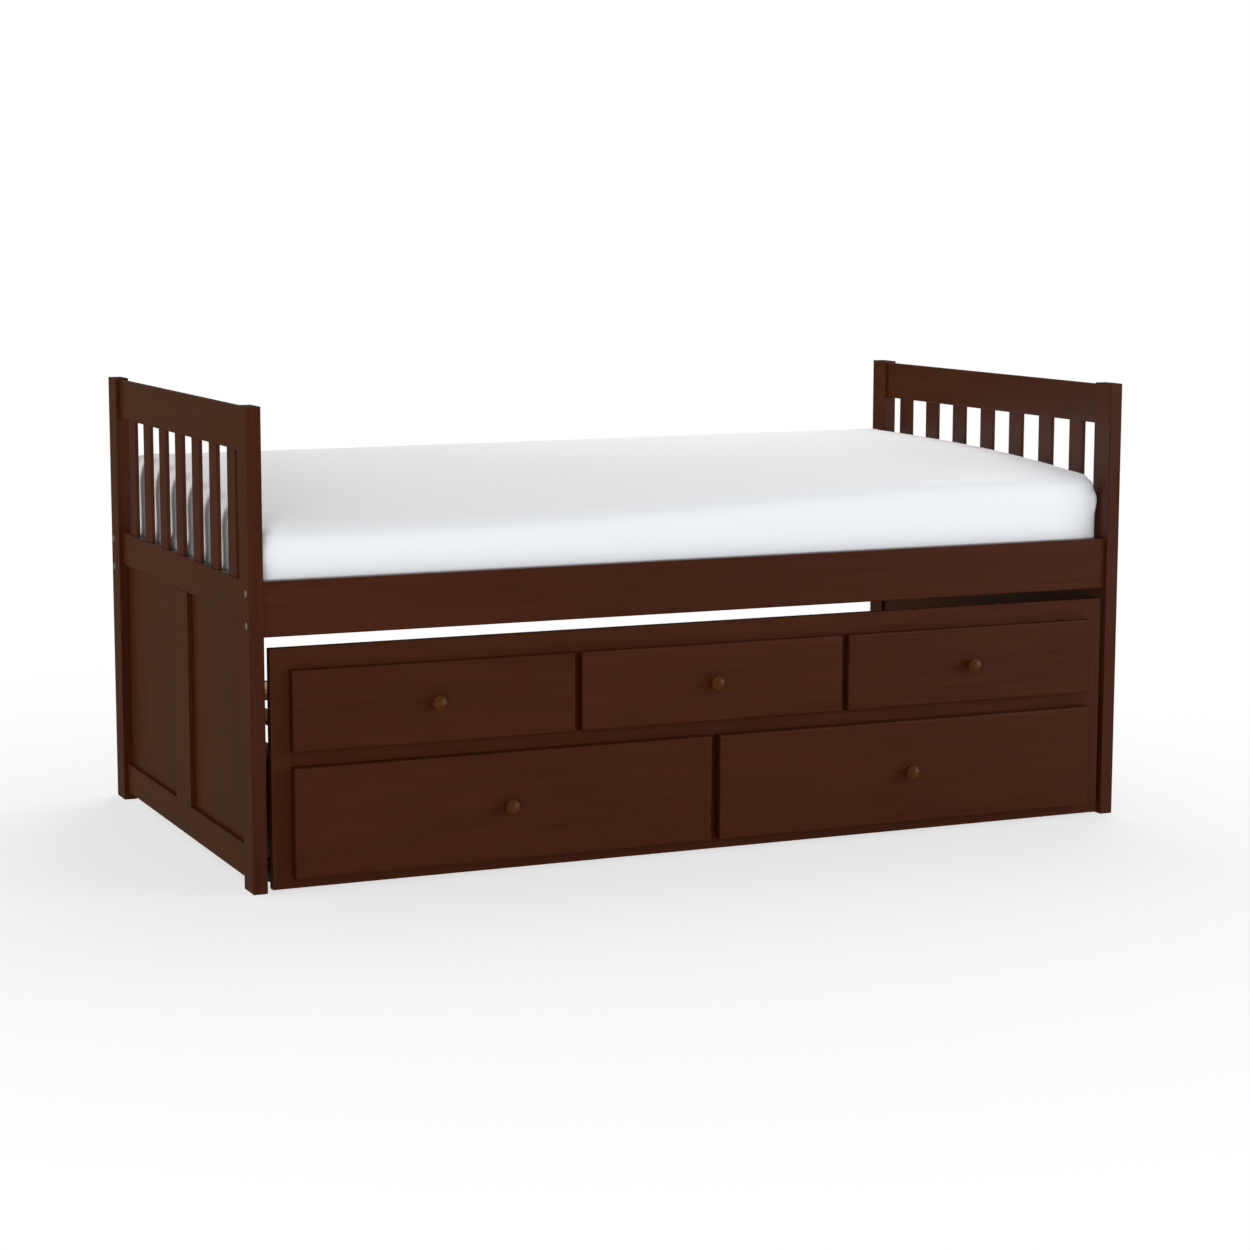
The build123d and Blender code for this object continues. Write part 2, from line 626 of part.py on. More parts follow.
def write_trundle_box():
    """The trundle's sides, dividers, rear rails and slatted deck."""
    side = block(
        (-side_outer_x, face_back_y, TRUNDLE_FLOOR_GAP),
        (-opening_outer_x, trundle_rear_y, deck_bottom),
    )
    divider = block(
        (-opening_inner_x, face_back_y, TRUNDLE_FLOOR_GAP),
        (-divider_inner_x, rear_rail_y, cleat_bottom),
    )
    for y in wheel_rows_y:
        hole = rod(
            (-side_outer_x, y, WHEEL_RADIUS),
            (1, 0, 0),
            side_outer_x,
            AXLE_RADIUS + FASTENER_CLEARANCE,
        )
        side -= hole
        divider -= hole
    rear_low = (-opening_outer_x, rear_rail_y)
    rear_high = (opening_outer_x, trundle_rear_y)
    rear_rail = block((*rear_low, DECK_HEIGHT - REAR_RAIL_HEIGHT), (*rear_high, DECK_HEIGHT))
    rear_bottom_top = TRUNDLE_FLOOR_GAP + REAR_BOTTOM_RAIL_HEIGHT
    rear_bottom = block((*rear_low, TRUNDLE_FLOOR_GAP), (*rear_high, rear_bottom_top))
    front_cleat = block(
        (-opening_outer_x, face_back_y, cleat_bottom),
        (opening_outer_x, face_back_y + CLEAT_THICKNESS, deck_bottom),
    )
    rear_cleat = block(
        (-opening_outer_x, rear_rail_y - CLEAT_THICKNESS, cleat_bottom),
        (opening_outer_x, rear_rail_y, deck_bottom),
    )
    first = DECK_SLAT_WIDTH / 2 - side_outer_x
    slats, screws, rooms = slat_deck(
        spread(first, -first, DECK_SLAT_COUNT),
        DECK_SLAT_WIDTH,
        (face_back_y + SLAT_END_CLEARANCE, rear_rail_y - SLAT_END_CLEARANCE),
        (deck_bottom, DECK_HEIGHT),
        (face_back_y + CLEAT_THICKNESS / 2, rear_rail_y - CLEAT_THICKNESS / 2),
    )
    write("trundle_left_side", side - rooms)
    write("trundle_right_side", along_bed(side) - rooms)
    write("trundle_dividers", divider, along_bed(divider))
    write("trundle_rear_rail", rear_rail)
    write("trundle_rear_bottom_rail", rear_bottom)
    write("trundle_cleats", front_cleat - rooms, rear_cleat - rooms)
    write("trundle_slats", *slats)
    write("trundle_slat_screws", *screws)


def wheel():
    """A dished wheel on the X axis, its inner face on the YZ plane."""
    dish_radius = WHEEL_RADIUS - WHEEL_RIM_DEPTH
    disc = rod((0, 0, 0), (1, 0, 0), WHEEL_WIDTH, WHEEL_RADIUS)
    disc = fillet(disc.edges().filter_by(GeomType.CIRCLE), WHEEL_EDGE_ROUND)
    ring = rod((0, 0, 0), (1, 0, 0), WHEEL_DISH_DEPTH, dish_radius)
    ring -= rod((0, 0, 0), (1, 0, 0), WHEEL_DISH_DEPTH, WHEEL_HUB_RADIUS)
    bore = rod((0, 0, 0), (1, 0, 0), WHEEL_WIDTH, AXLE_RADIUS + RUNNING_CLEARANCE)
    return disc - [ring, Pos(WHEEL_WIDTH - WHEEL_DISH_DEPTH, 0, 0) * ring, bore]


def side_axle(y):
    """A riveted axle through the left side panel, with a collar that spaces its wheel."""
    wheel_room = AXLE_COLLAR_LENGTH + WHEEL_WIDTH + WHEEL_SIDE_PLAY
    centre = (y, WHEEL_RADIUS)
    start_x = -side_outer_x - wheel_room - AXLE_HEAD_HEIGHT
    length = wheel_room + SIDE_PANEL_THICKNESS + 2 * AXLE_HEAD_HEIGHT
    collar_x = -side_outer_x - AXLE_COLLAR_LENGTH
    pin = rod((start_x, *centre), (1, 0, 0), length, AXLE_RADIUS)
    pin += rod((start_x, *centre), (1, 0, 0), AXLE_HEAD_HEIGHT, AXLE_HEAD_RADIUS)
    pin += rod((collar_x, *centre), (1, 0, 0), AXLE_COLLAR_LENGTH, AXLE_HEAD_RADIUS)
    pin += rod((-opening_outer_x, *centre), (1, 0, 0), AXLE_HEAD_HEIGHT, AXLE_HEAD_RADIUS)
    return pin


def middle_axle(y):
    """A riveted axle through both dividers, with a wheel between them."""
    centre = (y, WHEEL_RADIUS)
    start_x = -opening_inner_x - AXLE_HEAD_HEIGHT
    pin = rod((start_x, *centre), (1, 0, 0), -2 * start_x, AXLE_RADIUS)
    pin += rod((start_x, *centre), (1, 0, 0), AXLE_HEAD_HEIGHT, AXLE_HEAD_RADIUS)
    pin += rod((opening_inner_x, *centre), (1, 0, 0), AXLE_HEAD_HEIGHT, AXLE_HEAD_RADIUS)
    return pin


def write_wheels():
    """Two rows of three wheels under the trundle, each row on one line, and their axles."""
    side_wheel_x = -side_outer_x - AXLE_COLLAR_LENGTH - WHEEL_SIDE_PLAY / 2 - WHEEL_WIDTH
    axles = []
    for name, y in zip(("front_wheels", "rear_wheels"), wheel_rows_y):
        left = Pos(side_wheel_x, y, WHEEL_RADIUS) * wheel()
        middle = Pos(-WHEEL_WIDTH / 2, y, WHEEL_RADIUS) * wheel()
        write(name, left, middle, along_bed(left))
        axle = side_axle(y)
        axles += [axle, middle_axle(y), along_bed(axle)]
    write("wheel_axles", *axles)


def slide_pair():
    """The channel on the left side panel and the runner of the left drawer inside it."""
    wall = -opening_outer_x
    start, end = face_back_y, face_back_y + SLIDE_LENGTH
    lip = wall + SLIDE_SPACE - SLIDE_WEB_GAP
    channel = block((wall, start, slide_bottom), (lip, end, slide_top))
    channel -= block(
        (wall + SLIDE_GAUGE, start, slide_bottom + SLIDE_GAUGE),
        (lip, end, slide_top - SLIDE_GAUGE),
    )
    inner = wall + SLIDE_GAUGE + SLIDE_WEB_GAP
    web = wall + SLIDE_SPACE
    bottom = slide_bottom + SLIDE_GAUGE + CONTACT_GAP
    top = slide_top - SLIDE_GAUGE - CONTACT_GAP
    runner = block((inner, start, bottom), (web, end, top))
    runner -= block(
        (inner, start, bottom + SLIDE_GAUGE),
        (web - SLIDE_GAUGE, end, top - SLIDE_GAUGE),
    )
    return channel, runner


def other_wall(piece):
    """A slide's twin on the far wall of the left drawer's opening."""
    middle = (opening_outer_x + opening_inner_x) / 2
    return mirror(piece, about=Plane.YZ.offset(-middle))


def write_slides_and_bumpers():
    """Slide channels and rubber bumpers that stay on the trundle."""
    channel, _ = slide_pair()
    left_pair = [channel, other_wall(channel)]
    write("slide_channels", *left_pair, *[along_bed(one) for one in left_pair])
    thickness = DRAWER_STANDOFF - CONTACT_GAP
    bumpers = []
    for x in (-opening_outer_x - FRONT_LAP_END / 2, FRONT_LAP_END / 2 - opening_inner_x):
        for z in (opening_bottom + BUMPER_INSET, opening_top - BUMPER_INSET):
            bumper = rod((x, face_y, z), (0, -1, 0), thickness, BUMPER_DIAMETER / 2)
            bumpers += [bumper, along_bed(bumper)]
    write("drawer_bumpers", *bumpers)


def drawer_pieces():
    """Pieces of the left drawer, by name."""
    outer = -opening_outer_x + SLIDE_SPACE
    inner = -opening_inner_x - SLIDE_SPACE
    middle_x = (outer + inner) / 2
    middle_z = (front_bottom + front_top) / 2
    rear_y = drawer_back_y + DRAWER_DEPTH
    floor_low = (
        outer + DRAWER_BOARD - DRAWER_GROOVE,
        drawer_back_y - DRAWER_GROOVE,
        drawer_floor_bottom,
    )
    floor_high = (inner - DRAWER_BOARD + DRAWER_GROOVE, rear_y, drawer_floor_top)
    floor_room = pocket((floor_low, floor_high))
    front = rounded_front(
        (-front_outer_x, drawer_face_y, front_bottom),
        (-front_inner_x, drawer_back_y, front_top),
    )
    side = block(
        (outer, drawer_back_y, drawer_box_bottom),
        (outer + DRAWER_BOARD, rear_y, drawer_box_top),
    )
    side -= floor_room
    back = block(
        (outer + DRAWER_BOARD, rear_y - DRAWER_BOARD, drawer_floor_top + JOINT_CLEARANCE),
        (inner - DRAWER_BOARD, rear_y, drawer_box_top),
    )
    _, runner = slide_pair()
    return {
        "front": [front - [floor_room, knob_hole(middle_x, drawer_face_y, middle_z)]],
        "sides": [side, other_wall(side)],
        "back": [back],
        "bottom": [block(floor_low, floor_high)],
        "knob": [placed_knob(middle_x, drawer_face_y, middle_z)],
        "runners": [runner, other_wall(runner)],
    }


def write_drawers():
    """The two storage drawers, alike but for the hand."""
    for name, pieces in drawer_pieces().items():
        write(f"left_drawer_{name}", *pieces)
        write(f"right_drawer_{name}", *[along_bed(piece) for piece in pieces])


def main():
    """Writes every piece of the bed."""
    os.makedirs("parts", exist_ok=True)
    write_ends()
    write_side_rails()
    write_bed_base()
    write_mattress()
    write_trundle_face()
    write_false_fronts()
    write_trundle_box()
    write_wheels()
    write_slides_and_bumpers()
    write_drawers()


if __name__ == "__main__":
    main()
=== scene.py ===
"""Looks of a captain's bed with a roll-out trundle: finishes, mattress, studio and camera.

Lengths are in metres in the bed's own frame: X along the bed, Y from its front to its rear, Z up.
Colours are linear red, green and blue.
"""

import logging
import math
from collections.abc import Callable
from dataclasses import dataclass, field
from enum import Enum

import bmesh
import bpy
from mathutils import Euler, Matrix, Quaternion, Vector


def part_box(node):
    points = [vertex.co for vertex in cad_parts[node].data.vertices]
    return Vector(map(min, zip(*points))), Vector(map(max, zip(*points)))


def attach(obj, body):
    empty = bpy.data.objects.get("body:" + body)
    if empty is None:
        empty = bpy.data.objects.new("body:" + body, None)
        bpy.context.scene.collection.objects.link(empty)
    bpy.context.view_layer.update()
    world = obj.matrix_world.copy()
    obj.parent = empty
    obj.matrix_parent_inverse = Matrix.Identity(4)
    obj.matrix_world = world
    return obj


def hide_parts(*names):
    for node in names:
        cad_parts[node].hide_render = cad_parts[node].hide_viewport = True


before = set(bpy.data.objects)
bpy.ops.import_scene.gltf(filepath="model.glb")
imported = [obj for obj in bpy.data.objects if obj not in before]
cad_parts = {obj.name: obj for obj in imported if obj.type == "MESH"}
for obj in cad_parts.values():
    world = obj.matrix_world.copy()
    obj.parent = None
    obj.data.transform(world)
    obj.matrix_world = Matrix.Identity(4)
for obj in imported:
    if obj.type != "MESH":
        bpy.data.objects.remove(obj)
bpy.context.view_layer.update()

LOG = logging.getLogger("trundle_bed")

Colour = tuple[float, float, float]
Point = tuple[float, float, float]
Span = tuple[float, float]
Feed = bpy.types.NodeSocket | float | Colour | Point

UNIT: Span = (0.0, 1.0)
WHITE: Colour = (1.0, 1.0, 1.0)
FULL_TURN = 2 * math.pi
MILLIMETRES = 1000
BEVEL_SAMPLES = 4


class Hand(Enum):
    """The two ends of the bed, which are also the sides of the drawers."""

    LEFT = "left"
    RIGHT = "right"


class Lie(Enum):
    """How a board lies: its label, and the axes along its grain, across its face and through it."""

    LONG_RAIL = ("long_rail", "XZY")
    CROSS_RAIL = ("cross_rail", "YZX")
    END_UPRIGHT = ("end_upright", "ZYX")
    FRONT_UPRIGHT = ("front_upright", "ZXY")
    CROSS_SLAT = ("cross_slat", "YXZ")
    LONG_FLAT = ("long_flat", "XYZ")
    TURNED = ("turned", "YXZ")

    def __init__(self, label: str, axes: str) -> None:
        """Keeps the label for material names and the letters of the three axes."""
        self.label = label
        self.axes = axes


class Graph:
    """A node tree with short ways to add nodes and join them."""

    def __init__(self, tree: bpy.types.NodeTree) -> None:
        """Takes over a tree and leaves it empty."""
        self.tree = tree
        tree.nodes.clear()

    def node(
        self, kind: str, feeds: dict[str | int, Feed] | None = None, **settings: object
    ) -> bpy.types.Node:
        """Adds one node.

        Args:
            kind: the node's type, without the ShaderNode that all share.
            feeds: a plain value or another node's output for each input.
            settings: the node's own properties.

        Returns:
            The new node.
        """
        made = self.tree.nodes.new(kind if kind.startswith("Node") else f"ShaderNode{kind}")
        for name, value in settings.items():
            setattr(made, name, value)
        for name, value in (feeds or {}).items():
            self.feed(made.inputs[name], value)
        return made

    def feed(self, socket: bpy.types.NodeSocket, value: Feed) -> None:
        """Sets an input to a plain value, or links an output to it."""
        if isinstance(value, bpy.types.NodeSocket):
            self.tree.links.new(value, socket)
        elif socket.type == "RGBA" and len(value) == 3:
            socket.default_value = (*value, 1.0)
        else:
            socket.default_value = value

    def maths(self, operation: str, *values: Feed) -> bpy.types.NodeSocket:
        """The result of a Math node on up to three values."""
        return self.node("Math", dict(enumerate(values)), operation=operation).outputs[0]

    def scaled(self, value: Feed, span: Span, to: Span = UNIT) -> bpy.types.NodeSocket:
        """A value mapped from one span to another, and held inside it."""
        feeds = {"Value": value, "From Min": span[0], "From Max": span[1], "To Min": to[0], "To Max": to[1]}
        return self.node("MapRange", feeds).outputs[0]

    def blended(self, share: Feed, first: Feed, second: Feed) -> bpy.types.NodeSocket:
        """Two colours mixed by a share."""
        mix = self.node("Mix", data_type="RGBA")
        for name, value in (("Factor", share), ("A", first), ("B", second)):
            self.feed(next(s for s in mix.inputs if s.name == name and s.enabled), value)
        return next(s for s in mix.outputs if s.enabled)

    def noise(
        self, place: Feed, scale: Feed = 1.0, detail: float = 2.0, rough: float = 0.5
    ) -> bpy.types.NodeSocket:
        """A noise value over a place."""
        feeds = {"Vector": place, "Scale": scale, "Detail": detail, "Roughness": rough}
        return self.node("TexNoise", feeds).outputs[0]


@dataclass(frozen=True)
class GrainLayer:
    """One noise in the wood's grain.

    Attributes:
        along: its scale along the grain, per metre.
        across: its scale across the grain, per metre.
        detail: how many finer noises it carries.
        rough: how strong the finer noises are.
        span: the noise values that become 0 and 1.
    """

    along: float
    across: float
    detail: float
    rough: float = 0.5
    span: Span = UNIT


GROWTH = GrainLayer(along=0.55, across=5.0, detail=1.6, rough=0.42)
STREAKS = GrainLayer(along=5.0, across=260.0, detail=3.0, rough=0.6, span=(0.28, 0.72))
PORES = GrainLayer(along=34.0, across=1500.0, detail=1.0, span=(0.58, 0.72))
TONE = GrainLayer(along=1.1, across=3.4, detail=2.5, span=(0.3, 0.7))

# How far apart two boards lie in the noise along each axis, and the step between boards of a row.
BOARD_SHIFTS: Point = (31.7, 17.3, 11.9)
BOARD_STEP = 0.413

# Cosines between a face and its rounded normal, from a flat place to a sharp edge.
EDGE_BEND: Span = (0.995, 0.86)
RUBBED: Span = (0.42, 0.66)

# The largest sum of the crossed yarns' waves that shows.
YARN_PEAK = 1.6
SCUFFED: Span = (0.48, 0.68)
SCUFF_FINENESS = 9.0

# The share of a face's normal that counts as looking along an axis.
FACING: Span = (0.6, 0.95)


class EffectGroups:
    """Effects that several finishes share, each a node group that is built once."""

    def __init__(self) -> None:
        """Starts with no group built."""
        self.built: dict[str, bpy.types.NodeTree] = {}

    def place(self, graph: Graph, name: str, feeds: dict[str, Feed]) -> bpy.types.Node:
        """Puts a group into a material.

        Args:
            graph: the material's tree.
            name: which effect.
            feeds: the group's inputs.

        Returns:
            The group's node, with the effect's named outputs.
        """
        makers: dict[str, Callable[[], bpy.types.NodeTree]] = {
            "wood_grain": self.wood_grain,
            "edge_wear": self.edge_wear,
            "cloth_weave": self.cloth_weave,
            "surface_mottle": self.surface_mottle,
        }
        if name not in self.built:
            self.built[name] = makers[name]()
        node = graph.node("Group")
        node.node_tree = self.built[name]
        for key, value in feeds.items():
            graph.feed(node.inputs[key], value)
        return node

    def start(
        self, name: str, inputs: dict[str, str], outputs: list[str]
    ) -> tuple[Graph, bpy.types.Node, bpy.types.Node]:
        """An empty group with its sockets.

        Args:
            name: the group's name.
            inputs: the kind of socket for each input.
            outputs: names of the values that it puts out.

        Returns:
            The group's tree, and its input and output nodes.
        """
        tree = bpy.data.node_groups.new(name, "ShaderNodeTree")
        for key, kind in inputs.items():
            tree.interface.new_socket(key, in_out="INPUT", socket_type=f"NodeSocket{kind}")
        for key in outputs:
            tree.interface.new_socket(key, in_out="OUTPUT", socket_type="NodeSocketFloat")
        graph = Graph(tree)
        return graph, graph.node("NodeGroupInput"), graph.node("NodeGroupOutput")

    def wood_grain(self) -> bpy.types.NodeTree:
        """Growth figure, fine streaks, open pores and a slow change of tone along a board."""
        inputs = dict.fromkeys(("Along", "Across", "Through", "Board", "Rings"), "Float")
        graph, given, result = self.start("wood_grain", inputs, ["Figure", "Streaks", "Pores", "Tone"])

        def spread(layer: GrainLayer) -> bpy.types.NodeSocket:
            """A layer's noise over the board, with its own scale along and across the grain."""
            scales = (("Along", layer.along), ("Across", layer.across), ("Through", layer.across))
            parts = []
            for (name, scale), shift in zip(scales, BOARD_SHIFTS):
                start = graph.maths("MULTIPLY", given.outputs["Board"], shift)
                parts.append(graph.maths("MULTIPLY_ADD", given.outputs[name], scale, start))
            place = graph.node("CombineXYZ", dict(enumerate(parts))).outputs[0]
            return graph.scaled(graph.noise(place, detail=layer.detail, rough=layer.rough), layer.span)

        turns = graph.maths("MULTIPLY", given.outputs["Rings"], FULL_TURN)
        wave = graph.maths("SINE", graph.maths("MULTIPLY", spread(GROWTH), turns))
        graph.feed(result.inputs["Figure"], graph.scaled(wave, (-1.0, 1.0)))
        for name, layer in (("Streaks", STREAKS), ("Pores", PORES), ("Tone", TONE)):
            graph.feed(result.inputs[name], spread(layer))
        return graph.tree

    def edge_wear(self) -> bpy.types.NodeTree:
        """Where handling has rubbed the outer edges."""
        graph, given, result = self.start("edge_wear", {"Place": "Vector", "Width": "Float"}, ["Wear"])
        rounded = graph.node("Bevel", {"Radius": given.outputs["Width"]}, samples=BEVEL_SAMPLES)
        normals = {0: rounded.outputs[0], 1: graph.node("NewGeometry").outputs["Normal"]}
        bend = graph.node("VectorMath", normals, operation="DOT_PRODUCT").outputs["Value"]
        rub = graph.noise(given.outputs["Place"], scale=26.0, detail=4.0, rough=0.65)
        wear = graph.maths("MULTIPLY", graph.scaled(bend, EDGE_BEND), graph.scaled(rub, RUBBED))
        graph.feed(result.inputs["Wear"], wear)
        return graph.tree

    def cloth_weave(self) -> bpy.types.NodeTree:
        """Fine crossed yarns, and the slack in the cloth over them."""
        inputs = {"Place": "Vector", "Pitch": "Float"}
        graph, given, result = self.start("cloth_weave", inputs, ["Yarns", "Slack"])
        parts = graph.node("SeparateXYZ", {0: given.outputs["Place"]}).outputs
        turn = graph.maths("DIVIDE", FULL_TURN, given.outputs["Pitch"])
        lines = (
            parts["X"],
            graph.maths("ADD", parts["Y"], parts["Z"]),
            graph.maths("SUBTRACT", parts["Y"], parts["Z"]),
        )
        waves = [graph.maths("SINE", graph.maths("MULTIPLY", line, turn)) for line in lines]
        crossed = graph.maths("MULTIPLY", waves[0], graph.maths("ADD", waves[1], waves[2]))
        slack = graph.noise(given.outputs["Place"], scale=2.6, detail=3.0, rough=0.45)
        graph.feed(result.inputs["Yarns"], graph.scaled(crossed, (-YARN_PEAK, YARN_PEAK)))
        graph.feed(result.inputs["Slack"], slack)
        return graph.tree

    def surface_mottle(self) -> bpy.types.NodeTree:
        """Uneven tone and small scuffs of a plain made surface."""
        inputs = {"Place": "Vector", "Scale": "Float"}
        graph, given, result = self.start("surface_mottle", inputs, ["Tone", "Scuffs"])
        tone = graph.noise(given.outputs["Place"], given.outputs["Scale"], detail=3.0)
        fine = graph.maths("MULTIPLY", given.outputs["Scale"], SCUFF_FINENESS)
        scuffs = graph.noise(given.outputs["Place"], fine, detail=4.0)
        graph.feed(result.inputs["Tone"], tone)
        graph.feed(result.inputs["Scuffs"], graph.scaled(scuffs, SCUFFED))
        return graph.tree


EFFECTS = EffectGroups()


def new_material(name: str, **shader_values: Feed) -> tuple[bpy.types.Material, Graph, bpy.types.Node]:
    """A material with its Principled shader joined to the output.

    Args:
        name: the material's name.
        shader_values: plain numbers set on the shader's own sockets, with _ for a space.

    Returns:
        The material, its tree and its shader.
    """
    material = bpy.data.materials.new(name)
    material.use_nodes = True
    graph = Graph(material.node_tree)
    shader = graph.node("BsdfPrincipled")
    for key, value in shader_values.items():
        graph.feed(shader.inputs[key.replace("_", " ")], value)
    graph.node("OutputMaterial", {"Surface": shader.outputs[0]})
    return material, graph, shader


@dataclass(frozen=True)
class BoardRow:
    """Boards of one node that stand in a row, so that each has its own piece of grain."""

    first: float
    pitch: float

    @classmethod
    def across(cls, node: str, axis: int, count: int, width: float) -> "BoardRow":
        """The row that a node's boards make.

        Args:
            node: the node that holds the boards.
            axis: the axis along which they stand.
            count: how many they are.
            width: each board's own width.

        Returns:
            The row, from its first board's middle.
        """
        low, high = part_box(node)
        return cls(low[axis] + width / 2, (high[axis] - low[axis] - width) / (count - 1))


@dataclass(frozen=True)
class WoodFinish:
    """A wood surface: its colours, how much of its grain shows, and its sheen."""

    name: str
    deep: Colour
    light: Colour
    pore: Colour
    worn: Colour
    figure: float
    streaks: float
    tone: float
    rings: float
    roughness: Span
    pore_show: float
    wear_show: float
    edge_round: float = 0.0008
    wear_width: float = 1.6
    pore_depth: float = 0.00006
    streak_relief: float = 0.5
    bump: float = 0.6
    sheen: float = 0.5
    end_grain: float = 0.3
    plies: int = 0
    ply_board: float = 0.012
    glue_line: Span = (0.2, 0.9)
    glue_show: float = 0.55

    def material(self, lie: Lie, row: BoardRow | None = None) -> bpy.types.Material:
        """This finish on boards that lie one way.

        Args:
            lie: how the boards lie.
            row: the row that they stand in, where one node holds several.

        Returns:
            The material, made on first use.
        """
        label = f"{self.name}_{lie.label}" + (f"_{round(row.pitch * MILLIMETRES)}" if row else "")
        if label in bpy.data.materials:
            return bpy.data.materials[label]
        material, graph, shader = new_material(label, Specular_IOR_Level=self.sheen)
        coordinates = graph.node("TexCoord")
        place = coordinates.outputs["Object"]
        parts = graph.node("SeparateXYZ", {0: place}).outputs
        along, across, through = (parts[axis] for axis in lie.axes)
        board = graph.node("ObjectInfo").outputs["Random"]
        if row:
            steps = graph.maths("DIVIDE", graph.maths("SUBTRACT", across, row.first), row.pitch)
            board = graph.maths("MULTIPLY_ADD", graph.maths("ROUND", steps), BOARD_STEP, board)
        feeds = {"Along": along, "Across": across, "Through": through, "Board": board, "Rings": self.rings}
        grain = EFFECTS.place(graph, "wood_grain", feeds).outputs
        rubbed_edge = {"Place": place, "Width": self.edge_round * self.wear_width}
        wear = EFFECTS.place(graph, "edge_wear", rubbed_edge).outputs["Wear"]

        shade = graph.maths("MULTIPLY", grain["Figure"], self.figure)
        shade = graph.maths("MULTIPLY_ADD", grain["Streaks"], self.streaks, shade)
        shade = graph.maths("MULTIPLY_ADD", grain["Tone"], self.tone, shade)
        colour = graph.blended(shade, self.deep, self.light)
        if self.plies:
            layers = graph.maths("MULTIPLY", through, FULL_TURN * self.plies / self.ply_board)
            glue = graph.scaled(graph.maths("SINE", layers), self.glue_line, (0.0, self.glue_show))
            edges = self.facing(graph, coordinates, lie.axes[2], along=False)
            colour = graph.blended(graph.maths("MULTIPLY", glue, edges), colour, self.pore)
        ends = self.facing(graph, coordinates, lie.axes[0], along=True)
        colour = graph.blended(graph.maths("MULTIPLY", ends, self.end_grain), colour, self.pore)
        colour = graph.blended(graph.maths("MULTIPLY", grain["Pores"], self.pore_show), colour, self.pore)
        colour = graph.blended(graph.maths("MULTIPLY", wear, self.wear_show), colour, self.worn)
        graph.feed(shader.inputs["Base Color"], colour)
        graph.feed(shader.inputs["Roughness"], graph.scaled(grain["Streaks"], UNIT, self.roughness))

        rounded = graph.node("Bevel", {"Radius": self.edge_round}, samples=BEVEL_SAMPLES).outputs[0]
        closed = graph.maths("SUBTRACT", 1.0, grain["Pores"])
        relief = graph.maths("MULTIPLY_ADD", grain["Streaks"], self.streak_relief, closed)
        bump = {"Strength": self.bump, "Distance": self.pore_depth, "Height": relief, "Normal": rounded}
        graph.feed(shader.inputs["Normal"], graph.node("Bump", bump).outputs[0])
        return material

    def facing(
        self, graph: Graph, coordinates: bpy.types.Node, axis: str, along: bool
    ) -> bpy.types.NodeSocket:
        """Which faces look along an axis, or away from it.

        Args:
            graph: the material's tree.
            coordinates: its texture coordinates.
            axis: the letter of the axis.
            along: True for the faces that look along it, False for all the others.

        Returns:
            A mask.
        """
        normal = graph.node("SeparateXYZ", {0: coordinates.outputs["Normal"]}).outputs[axis]
        span = FACING if along else FACING[::-1]
        return graph.scaled(graph.maths("ABSOLUTE", normal), span)


@dataclass(frozen=True)
class MadeFinish:
    """A metal, painted, moulded or rubber surface with a little wear."""

    name: str
    colour: Colour
    shaded: Colour
    worn: Colour
    roughness: Span
    metallic: float = 0.0
    edge_tint: Colour = WHITE
    scale: float = 60.0
    tone_span: Span = (0.35, 0.65)
    scuff_show: float = 0.25
    wear_show: float = 0.5
    edge_round: float = 0.0006
    grain_depth: float = 0.00003
    bump: float = 0.5

    def material(self) -> bpy.types.Material:
        """The material of this finish, made on first use."""
        if self.name in bpy.data.materials:
            return bpy.data.materials[self.name]
        values = {"Metallic": self.metallic, "Specular_Tint": self.edge_tint}
        material, graph, shader = new_material(self.name, **values)
        place = graph.node("TexCoord").outputs["Object"]
        mottle = EFFECTS.place(graph, "surface_mottle", {"Place": place, "Scale": self.scale}).outputs
        wear = EFFECTS.place(graph, "edge_wear", {"Place": place, "Width": self.edge_round}).outputs["Wear"]
        tone = graph.scaled(mottle["Tone"], self.tone_span)
        colour = graph.blended(tone, self.shaded, self.colour)
        for mask, show in ((mottle["Scuffs"], self.scuff_show), (wear, self.wear_show)):
            colour = graph.blended(graph.maths("MULTIPLY", mask, show), colour, self.worn)
        graph.feed(shader.inputs["Base Color"], colour)
        graph.feed(shader.inputs["Roughness"], graph.scaled(mottle["Scuffs"], UNIT, self.roughness))
        rounded = graph.node("Bevel", {"Radius": self.edge_round}, samples=BEVEL_SAMPLES).outputs[0]
        relief = {"Strength": self.bump, "Distance": self.grain_depth, "Height": mottle["Scuffs"]}
        graph.feed(shader.inputs["Normal"], graph.node("Bump", relief | {"Normal": rounded}).outputs[0])
        return material


